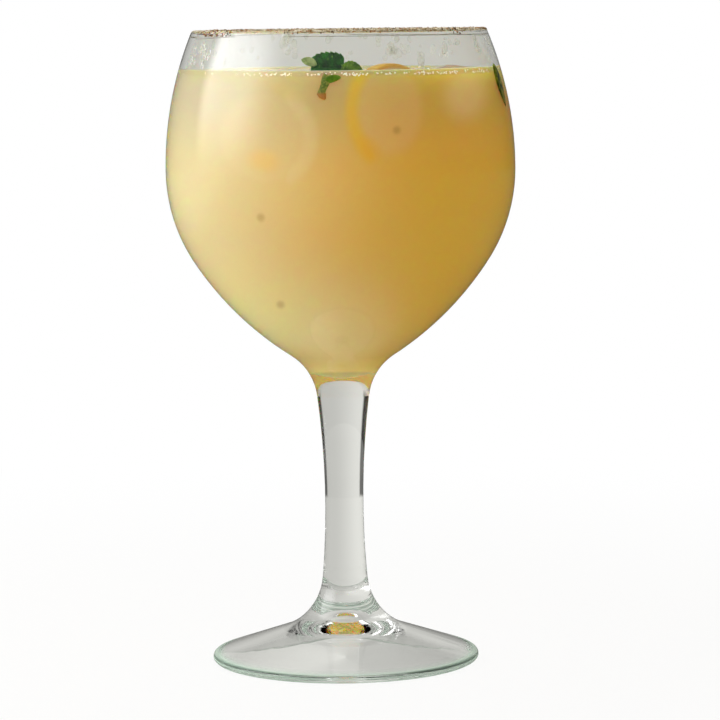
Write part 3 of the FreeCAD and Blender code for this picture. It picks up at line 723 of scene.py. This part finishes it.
SKIN = 1.0 * MM
SKIN_ROUGH = 0.12
outline = circle(RIM_MIDDLE, RIM_CENTRE_HEIGHT, SKIN, range(20, 161, 10))
flat = RIM_CENTRE_HEIGHT + CRUST_LOW
outline += [(RIM_MIDDLE - 0.5 * MM, flat), (RIM_MIDDLE + 0.5 * MM, flat), outline[0]]
crust = turned("sugar_skin", outline, steps=300, angle=CRUST_ARC, start=180 + BARE_ARC / 2)
start_edit(crust)
bpy.ops.mesh.select_all(action="DESELECT")
bpy.ops.mesh.select_non_manifold()
bpy.ops.mesh.fill_holes(sides=0)
end_edit()
face_outward(crust)
for point in crust.data.vertices:
    if point.co.z > RIM_CENTRE_HEIGHT:
        point.co.z += chance.uniform(-SKIN_ROUGH, SKIN_ROUGH) * MM
settle(crust, 60)

# %% Grains
GRAIN_REACH = 0.62  # from a grain's middle to its furthest corner, next to its size
GRAIN_LIMIT = 45.8 * MM  # no grain reaches further from the axis
GRAIN_FLAT = 20  # degrees: sharper edges of a grain are not shaded smooth
CRUMBS = [(28, 1.2, 9), (32, 1.0, 10), (37, 0.8, 8), (41, 0.9, 10), (44, 0.8, 7), (141, 1.0, 6)]  # turn, spread, number
CHUNK = 1.15 * MM, 0.95 * MM, 0.9 * MM


def scattered(count, smallest, largest, low, high, far, chance, thick=True):
    """Places for grains over the crust; the crust is thicker in some stretches than in others."""
    places = []
    while len(places) < count:
        turn = chance.uniform(BARE_ARC / 2, 360 - BARE_ARC / 2)
        lean = chance.uniform(low, high)
        uneven = 0.5 + 0.5 * sin(turn * 0.21) * sin(turn * 0.057 + 1) if thick else 1
        if chance.random() > 0.45 + 0.55 * uneven:
            continue
        size = chance.uniform(smallest, largest) * MM
        point = on_rim(turn, lean, SKIN + chance.uniform(0, far) * MM)
        point.z = min(point.z, TOP_LIMIT - size * GRAIN_REACH)
        if hypot(point.x, point.y) + size * GRAIN_REACH > GRAIN_LIMIT:
            continue
        places.append(tumbled(point, [size * chance.uniform(0.7, 1.0) for _ in range(3)], chance))
    return places


def grain_bodies(chance, number, jitter):
    return [faceted("grain", 1, jitter, chance) for _ in range(number)]


bodies = grain_bodies(chance, 5, 0.18)
sugar = copies("sugar_grains", bodies, scattered(1900, 0.20, 0.42, 12, 168, 0.10, chance), GRAIN_FLAT)
bodies = grain_bodies(chance, 5, 0.3)
spice = copies("spice_grains", bodies, scattered(1500, 0.16, 0.36, 6, 172, 0.16, chance), GRAIN_FLAT)
fleck_places = scattered(900, 0.28, 0.62, 6, 175, 0.16, chance, thick=False)
for turn, spread, number in CRUMBS:
    for _ in range(number):
        size = chance.uniform(0.4, 0.9) * MM
        where = on_rim(turn + chance.gauss(0, spread), chance.uniform(-42, 8), SKIN + chance.uniform(-0.05, 0.1) * MM)
        fleck_places.append(tumbled(where, [size * chance.uniform(0.6, 1.0) for _ in range(3)], chance))
chunk = on_rim(140.5, 62, SKIN + 0.02 * MM)
chunk.z = TOP_LIMIT - 0.62 * MM
fleck_places.append(tumbled(chunk, CHUNK, chance))
flecks = copies("spice_flecks", grain_bodies(chance, 6, 0.3), fleck_places, GRAIN_FLAT)

# %% Rim finishes
EVEN = 0.35, 0.65  # levels of the noise
sugar_finish, _ = blotched(
    "sugar", 0.5 * MM, 2, EVEN, (0.84, 0.74, 0.50, 1), (0.96, 0.92, 0.80, 1), Roughness=0.28, IOR=1.54
)
skin_finish, skin_shader = blotched(
    "damp_sugar", 1.6 * MM, 4, (0.38, 0.62), (0.52, 0.40, 0.20, 1), (0.88, 0.82, 0.64, 1), Roughness=0.35, IOR=1.5
)
bumps(skin_finish, skin_shader, noise(skin_finish, 0.3 * MM, 3), 0.15 * MM)
spice_finish, _ = blotched(
    "ground_spice", 0.7 * MM, 2, EVEN, (0.14, 0.10, 0.03, 1), (0.46, 0.32, 0.12, 1), Roughness=0.75
)
fleck_finish, fleck_shader = blotched(
    "chilli_flecks", 1.2 * MM, 2, (0.4, 0.6), (0.07, 0.04, 0.01, 1), (0.46, 0.17, 0.03, 1), Roughness=0.5
)
bumps(fleck_finish, fleck_shader, noise(fleck_finish, 0.2 * MM, 2), 0.05 * MM)
for piece, material in [(crust, skin_finish), (sugar, sugar_finish), (spice, spice_finish), (flecks, fleck_finish)]:
    finished(piece, material, "spice", "spice_rim")

# %% [markdown]
# ## Painted shade line
# A thin dark line of painted shade runs round the outside of the bowl, just under the rim.

# %% Painted shade line
SHADE_LINE_HEIGHT = RIM_HEIGHT - 1.7 * MM
SHADE_LINE_RADIUS = 0.09 * MM
outline = circle(wall_at(SHADE_LINE_HEIGHT) + WALL, SHADE_LINE_HEIGHT, SHADE_LINE_RADIUS, range(0, 361, 60))
outline[-1] = outline[0]
shade_line = turned("painted_shade_line", outline, steps=200, angle=CRUST_ARC, start=180 + BARE_ARC / 2)
# the dark blotched colour of the painted shade line
shade_line_finish, _ = blotched(
    "painted_rim_shade", 3 * MM, 3, EVEN, (0.22, 0.20, 0.14, 1), (0.50, 0.46, 0.36, 1), Roughness=0.4, IOR=1.45
)
finished(shade_line, shade_line_finish, "spice", "spice_rim")

# %% [markdown]
# ## Lemon slice
# One slice stands in the drink at the front right, with the top of its edge out of the surface. A round of
# lemon is a disc with rounded edges: waxy yellow skin, white pith, and wedges of pulp between thin walls. The
# disc is a cylinder, its faces are inset twice, and the pulp is pressed in a little. The finish finds the
# skin, pith and wedges by the distance and direction from the slice's own middle.

# %% Slice
SLICE_RADIUS = 16.0 * MM
SLICE_THICK = 4.6 * MM
SLICE_TURN = 40.0
HALF_WEDGES = 4.5
slice_box = [Vector(corner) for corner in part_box("lemon_slice")]
slice_middle = (slice_box[0] + slice_box[1]) / 2
deselect()
bpy.ops.mesh.primitive_cylinder_add(vertices=96, radius=SLICE_RADIUS, depth=SLICE_THICK)
lemon = named("lemon_round")
start_edit(lemon)
bpy.ops.mesh.select_all(action="DESELECT")
bpy.ops.mesh.select_mode(type="FACE")
end_edit()
for face in lemon.data.polygons:
    face.select = abs(face.normal.z) > 0.9
start_edit(lemon)
bpy.ops.mesh.inset(thickness=1.6 * MM, depth=0)
bpy.ops.mesh.inset(thickness=1.0 * MM, depth=-0.35 * MM)
bpy.ops.mesh.inset(thickness=3.0 * MM, depth=0.15 * MM)
bpy.ops.mesh.inset(thickness=4.5 * MM, depth=0)
end_edit()
bevel = lemon.modifiers.new("round_edge", "BEVEL")
bevel.width, bevel.segments, bevel.limit_method, bevel.angle_limit = 0.9 * MM, 4, "ANGLE", radians(60)
bpy.ops.object.modifier_apply(modifier=bevel.name)
pulp_chance = random.Random(3)
for point in lemon.data.vertices:
    reach = hypot(point.co.x, point.co.y)
    if 3 * MM < reach < 13 * MM:
        wedge = abs(sin(atan2(point.co.y, point.co.x) * HALF_WEDGES))
        point.co.z *= 0.94 + 0.06 * wedge + pulp_chance.uniform(-0.01, 0.01)
upright = turn_by(SLICE_TURN, 0, 90)
lemon.data.transform(Matrix.Translation(slice_middle) @ upright)
settle(lemon, 40)
print("slice middle", [round(v * 1000, 1) for v in slice_middle], "box", [round(v * 1000, 1) for v in lemon.dimensions])

# %% Slice finish
PULP_EDGE = 13.0 * MM, 13.6 * MM  # from the slice's middle
PITH_EDGE = 14.3 * MM, 15.2 * MM
lemon_finish, lemon_shader = new_material(
    "lemon", Roughness=0.32, IOR=1.4, Subsurface_Weight=0.6, Subsurface_Radius=(1.0, 0.7, 0.3), Subsurface_Scale=0.002
)
inputs = {"Vector": place_on(lemon_finish), "Location": slice_middle, "Rotation": upright.to_euler()}
local = add_node(lemon_finish, "ShaderNodeMapping", inputs, vector_type="TEXTURE").outputs[0]
sides = sides_of(lemon_finish, local)
reach = from_axis(lemon_finish, sides)
angle = times(lemon_finish, arith(lemon_finish, "ARCTAN2", sides["Y"], sides["X"]), HALF_WEDGES)
walls = arith(lemon_finish, "ABSOLUTE", arith(lemon_finish, "SINE", angle))
wet = noise(lemon_finish, 1.2 * MM, 3, point=local)
pulp = tint(lemon_finish, wet, (0.78, 0.48, 0.12, 1), (0.90, 0.66, 0.28, 1))
pulp = tint(lemon_finish, ramp(lemon_finish, walls, 0.0, 0.16), (0.86, 0.70, 0.38, 1), pulp)
flesh = tint(lemon_finish, ramp(lemon_finish, reach, *PULP_EDGE), pulp, (0.84, 0.66, 0.34, 1))
lemon_colour = tint(lemon_finish, ramp(lemon_finish, reach, *PITH_EDGE), flesh, (0.84, 0.50, 0.08, 1))
link(lemon_finish, lemon_colour, lemon_shader.inputs["Base Color"])
bumps(lemon_finish, lemon_shader, noise(lemon_finish, 0.8 * MM, 3, point=local), 0.12 * MM)
finished(lemon, lemon_finish, "lemon", "lemon_slice")

# %% [markdown]
# ## Mint
# Three pieces of mint: a leaf that floats folded at the front, a smaller one beside it, and a leaf that the
# glass holds against its right wall. A mint leaf is an oval with a toothed edge, a sunk middle rib and side
# ribs between which the blade puffs up. A grid is drawn in to that outline and raised along its ribs, folded
# and curled, and gets its thickness last. Each leaf is then laid in its place.

# %% Leaf
LEAF_THICK = 0.3 * MM


def leaf(name, length, width, fold, curl, thickness, teeth=7, ribs=6, blunt=0.7):
    """A leaf along +X from its stalk, face up, folded up along its rib and curled down at its tip."""
    deselect()
    bpy.ops.mesh.primitive_grid_add(x_subdivisions=90, y_subdivisions=36, size=1)
    piece = named(name)
    for point in piece.data.vertices:
        along, across = point.co.x + 0.5, point.co.y * 2
        half = width / 2 * sin(pi * along**0.82) ** blunt if 0 < along < 1 else 0
        tooth = (along * teeth) % 1
        half *= 1 + 0.13 * tooth * abs(across) ** 5
        rib = abs(sin(pi * (along * ribs - abs(across) * 1.6)))
        puff = 0.075 * half * min(1, rib * 2.2) * sin(pi * min(1, abs(across) * 1.02)) ** 0.6
        groove = -0.05 * half * exp(-(across / 0.07) ** 2)
        side = half * across
        lift = abs(side) * sin(fold) + puff + groove
        bend = along * curl
        radius = length / curl if abs(curl) > 1e-3 else 0
        x = radius * sin(bend) + lift * sin(bend) if radius else along * length
        z = (lift * cos(bend) - radius * (1 - cos(bend))) if radius else lift
        point.co = (x, side * cos(fold), z)
    wall = piece.modifiers.new("thickness", "SOLIDIFY")
    wall.thickness, wall.offset = thickness, 0
    bpy.ops.object.modifier_apply(modifier=wall.name)
    face_outward(piece, weld=True)
    return settle(piece)


def laid(piece, place, yaw, pitch, roll):
    """Rolls the leaf about its own length, tips it, turns it, and puts its stalk end at a place in mm."""
    piece.data.transform(Matrix.Translation(Vector(place) * MM) @ turn_by(yaw, pitch, roll))


def leaf_finish(name, dark, light, edge, specular=0.3):
    """Green blade, paler along its ribs and blotched, with a soft shine."""
    material, shader = new_material(
        name, Roughness=0.5, IOR=1.36, Subsurface_Weight=0.2,
        Subsurface_Radius=(0.4, 1.0, 0.2), Subsurface_Scale=0.0006, Specular_IOR_Level=specular,
    )
    colour = blotches(material, 2.2 * MM, 4, (0.36, 0.66), dark, light)
    hollow = add_node(material, "ShaderNodeNewGeometry").outputs["Pointiness"]
    colour = tint(material, ramp(material, hollow, 0.52, 0.60), colour, edge)
    link(material, colour, shader.inputs["Base Color"])
    bumps(material, shader, noise(material, 0.35 * MM, 3), 0.05 * MM)
    return material


green = leaf_finish("mint_green", (0.001, 0.050, 0.001, 1), (0.008, 0.15, 0.003, 1), (0.12, 0.32, 0.03, 1))
olive = leaf_finish("mint_olive", (0.04, 0.12, 0.002, 1), (0.14, 0.30, 0.01, 1), (0.30, 0.45, 0.06, 1))
pale_green = leaf_finish("mint_underside", (0.22, 0.32, 0.08, 1), (0.48, 0.55, 0.24, 1), (0.45, 0.52, 0.2, 1))
big = leaf("mint_big_leaf", 9.4 * MM, 8.4 * MM, 0.30, 0.25, LEAF_THICK, blunt=0.18)
small = leaf("mint_small_leaf", 6.2 * MM, 5.0 * MM, 0.35, 0.7, LEAF_THICK)
under = leaf("mint_pale_leaf", 4.8 * MM, 2.8 * MM, 0.5, 0.4, LEAF_THICK)
laid(big, (1.2, -43.2, 183.2), 177, -4, -64)
laid(small, (0.6, -44.4, 182.2), -8, -14, 58)
laid(under, (-6.6, -44.2, 184.2), 172, -22, -70)
for piece, material in [(big, green), (small, olive), (under, pale_green)]:
    finished(piece, material, "mint", "mint_sprig")

# %% [markdown]
# ## Stalk and side leaf
# These two touch the glass, so they show crisp through it where everything behind is lost in the cloud. Each
# reaches a little further into the wall than the drink does. The stalk is a tube that is extruded ring by
# ring along the wall, with a torn end; the side leaf is wrapped onto the wall point by point.

# %% Stalk
TWIG_DEPTH = 0.38 * MM


def along_wall(name, points, sides=16):
    """A flattened twig on the bowl's inside; each point is (turn, height, half width) in degrees and mm."""
    deselect()
    bpy.ops.mesh.primitive_circle_add(vertices=sides, radius=1, fill_type="NGON")
    piece = named(name)
    centres = [on_wall(turn, height * MM, -0.05 * MM) for turn, height, half_width in points]
    rings = []
    for number, (turn, height, half_width) in enumerate(points):
        ahead = (centres[min(number + 1, len(points) - 1)] - centres[max(number - 1, 0)]).normalized()
        outward = Vector((centres[number].x, centres[number].y, 0)).normalized()
        beside = ahead.cross(outward).normalized()
        rings.append((centres[number], beside * half_width * MM, outward * TWIG_DEPTH))
    start_edit(piece)
    for number in range(1, len(points)):
        bpy.ops.mesh.extrude_region_move(TRANSFORM_OT_translate={"value": (0, 0, 1)})
    end_edit()
    for point in piece.data.vertices:
        centre, beside, outward = rings[round(point.co.z)]
        point.co = centre + beside * point.co.x + outward * point.co.y
    face_outward(piece)
    return settle(piece, 50)


stalk_path = [(-3.6, 181.0, 1.7), (-4.2, 180.2, 1.6), (-4.6, 179.2, 1.5), (-5.0, 178.2, 1.35), (-5.5, 177.3, 1.2),
              (-5.9, 176.5, 1.25), (-6.1, 175.8, 1.5), (-5.9, 175.2, 1.3), (-5.2, 174.7, 0.7), (-4.9, 174.3, 0.3)]
stalk = along_wall("mint_stalk", stalk_path)
bud_path = [(0.4, 180.6, 0.3), (-0.6, 180.4, 1.0), (-1.8, 180.0, 1.5), (-3.2, 179.6, 1.7), (-4.6, 179.6, 1.3),
            (-5.6, 179.9, 0.5)]
bud = along_wall("mint_bud", bud_path)
stalk_finish, stalk_shader = new_material("stalk", Roughness=0.45, IOR=1.4, Coat_Weight=0.3, Coat_Roughness=0.2)
height = sides_of(stalk_finish, place_on(stalk_finish))["Z"]
stalk_colour = blotches(stalk_finish, 0.8 * MM, 4, (0.4, 0.6), (0.10, 0.17, 0.01, 1), (0.30, 0.33, 0.04, 1))
torn = ramp(stalk_finish, height, 176.6 * MM, 175.6 * MM, 0, 0.85)
stalk_colour = tint(stalk_finish, torn, stalk_colour, (0.58, 0.20, 0.03, 1))
link(stalk_finish, stalk_colour, stalk_shader.inputs["Base Color"])
bumps(stalk_finish, stalk_shader, noise(stalk_finish, 0.3 * MM, 3), 0.06 * MM)
finished(stalk, stalk_finish, "mint", "mint_sprig")
finished(bud, olive, "mint", "mint_sprig")

# %% Side leaf
SIDE_TURN, SIDE_TOP = 73.5, 183.3  # degrees from the front, and mm
SIDE_LEAN = 0.2  # degrees round the bowl for each mm down
SIDE_RADIUS = 48.5 * MM  # of the bowl where the leaf lies
side = leaf("mint_side_leaf", 12.8 * MM, 6.4 * MM, 0.12, 0.0, LEAF_THICK, teeth=8)
for point in side.data.vertices:
    down, out = point.co.x / MM, point.co.z / MM
    turn = SIDE_TURN + degrees(point.co.y / SIDE_RADIUS) + down * SIDE_LEAN
    point.co = on_wall(turn, (SIDE_TOP - down) * MM, (0.2 + 0.3 * out) * MM)
face_outward(side)
side_finish = leaf_finish("mint_side", (0.03, 0.06, 0.001, 1), (0.34, 0.36, 0.01, 1), (0.5, 0.5, 0.04, 1), 0.05)
finished(side, side_finish, "mint", "mint_leaf")
tip_path = [(76.6, 173.2, 0.5), (76.8, 172.4, 1.0), (77.0, 171.6, 0.7), (77.2, 171.0, 0.3)]
tip = along_wall("mint_side_tip", tip_path, sides=8)
finished(tip, stalk_finish, "mint", "mint_leaf")

# %% [markdown]
# ## Ice
# A lump of ice floats at the right with only its top out of the drink. It is a cube whose edges melted round:
# a bevel and two rounds of subdivision soften it, and a little noise dents its faces.

# %% Ice
ICE_SIDE = 15.0 * MM
ice_chance = random.Random(5)
deselect()
bpy.ops.mesh.primitive_cube_add(size=ICE_SIDE)
ice = named("ice")
start_edit(ice)
bpy.ops.mesh.bevel(offset=3.2 * MM, segments=3, affect="EDGES")
bpy.ops.mesh.subdivide(number_cuts=2, smoothness=0.6)
end_edit()
for point in ice.data.vertices:
    point.co *= 1 + ice_chance.uniform(-0.012, 0.012)
soften = ice.modifiers.new("melted", "SUBSURF")
soften.levels = soften.render_levels = 1
bpy.ops.object.modifier_apply(modifier=soften.name)
ice.data.transform(Matrix.Translation((35.0 * MM, -7.0 * MM, DRINK_LEVEL - 6.9 * MM)) @ turn_by(24, 9, -7))
settle(ice)
ice_finish, ice_shader = blotched(
    "ice", 4 * MM, 4, EVEN, (0.93, 0.92, 0.86, 1), (1, 0.99, 0.95, 1),
    Roughness=0.12, IOR=1.31, Transmission_Weight=0.85,
)
bumps(ice_finish, ice_shader, noise(ice_finish, 2.5 * MM, 3), 0.2 * MM)
finished(ice, ice_finish, "lemonade")

# %% [markdown]
# ## Bubbles and drops
# A string of small bubbles lines the drink where it meets the glass, thickest at the front. Above the drink,
# the wall carries drops and short runs left by the last swirl. The bubbles are white foam with a faint painted
# glow, a little light of their own that makes them brighter. The drops are clear and show by their edges.

# %% Bubbles
bubble_chance = random.Random(21)
BUBBLES, IN_FRONT = 420, 300
bubble_places = []
for number in range(BUBBLES):
    turn = bubble_chance.uniform(-36, 66) if number < IN_FRONT else bubble_chance.uniform(66, 324)
    clump = sin(turn * 0.35) * sin(turn * 0.13 + 0.7)
    if bubble_chance.random() > 0.62 + 0.38 * clump:
        continue
    size = bubble_chance.choice([0.6, 0.8, 1.0, 1.2, 1.4, 1.7]) * bubble_chance.uniform(0.75, 1.1)
    inward = size / 2 - bubble_chance.uniform(0.2, 0.34)
    place = on_wall(turn, DRINK_LEVEL + (bubble_chance.gauss(-0.5, 0.25) + size * 0.1) * MM, -inward * MM)
    bubble_places.append(Matrix.Translation(place) @ Matrix.Diagonal((size * MM, size * MM, size * MM * 0.85, 1)))
bubbles = copies("bubbles", [faceted("bubble", 1, 0.0, bubble_chance)], bubble_places)
# Painted glow: the bubble film emits a little light of its own.
film_and_glow_finish, film_and_glow_shader = new_material(
    "bubble_film_painted_glow", Base_Color=(1.0, 0.97, 0.88, 1), Roughness=0.15, IOR=1.33,
    Emission_Color=(1.0, 0.92, 0.72, 1), Emission_Strength=0.3,
)
see_through(film_and_glow_finish, film_and_glow_shader, 0.35, (0.1, 0.8, 0.95, 0.7), (1, 0.99, 0.95, 1))
finished(bubbles, film_and_glow_finish, "lemonade")

# %% Drops
# Where the wall is wet: degrees from the front, height in mm, half the spread of each, and how many drops.
WET = [(-17, 190.0, 3.6, 2.2, 9), (23, 189.6, 4.6, 2.6, 11), (30.5, 185.2, 0.6, 1.8, 5), (46, 189.2, 5.0, 2.4, 8),
       (62, 188.5, 3.0, 2.6, 5), (-62, 187.2, 7.0, 3.6, 16), (78, 188, 4, 3.4, 8), (-2, 191.6, 2.5, 0.6, 3),
       (150, 188.5, 30, 4, 16), (-140, 188, 30, 4, 14)]
drop_chance = random.Random(11)
drop_places = []
for turn, height, turn_spread, height_spread, number in WET:
    for _ in range(number):
        place_turn = turn + drop_chance.uniform(-1, 1) * turn_spread
        place = on_wall(place_turn, (height + drop_chance.uniform(-1, 1) * height_spread) * MM, 0.12 * MM)
        width = drop_chance.uniform(0.9, 2.6) * MM
        tall = width * drop_chance.uniform(0.8, 1.7)
        inward = Vector((-sin(radians(place_turn)), cos(radians(place_turn)), 0))
        drop_places.append(facing(place, inward, (width, tall, min(width, tall) * 0.3), drop_chance.uniform(-0.4, 0.4)))
drops = copies("drops", [faceted("drop", 2, 0.05, drop_chance) for _ in range(3)], drop_places)
water_finish, water_shader = new_material(
    "water", Base_Color=(1, 1, 1, 1), Roughness=0.03, IOR=1.33, Coat_Weight=0.5, Coat_Roughness=0.02
)
bumps(water_finish, water_shader, noise(water_finish, 1.5 * MM, 1), 0.03 * MM)
see_through(water_finish, water_shader, 0.3, (0.15, 0.7, 0.05, 0.95), (0.97, 0.97, 0.95, 1))
finished(drops, water_finish, "lemonade")
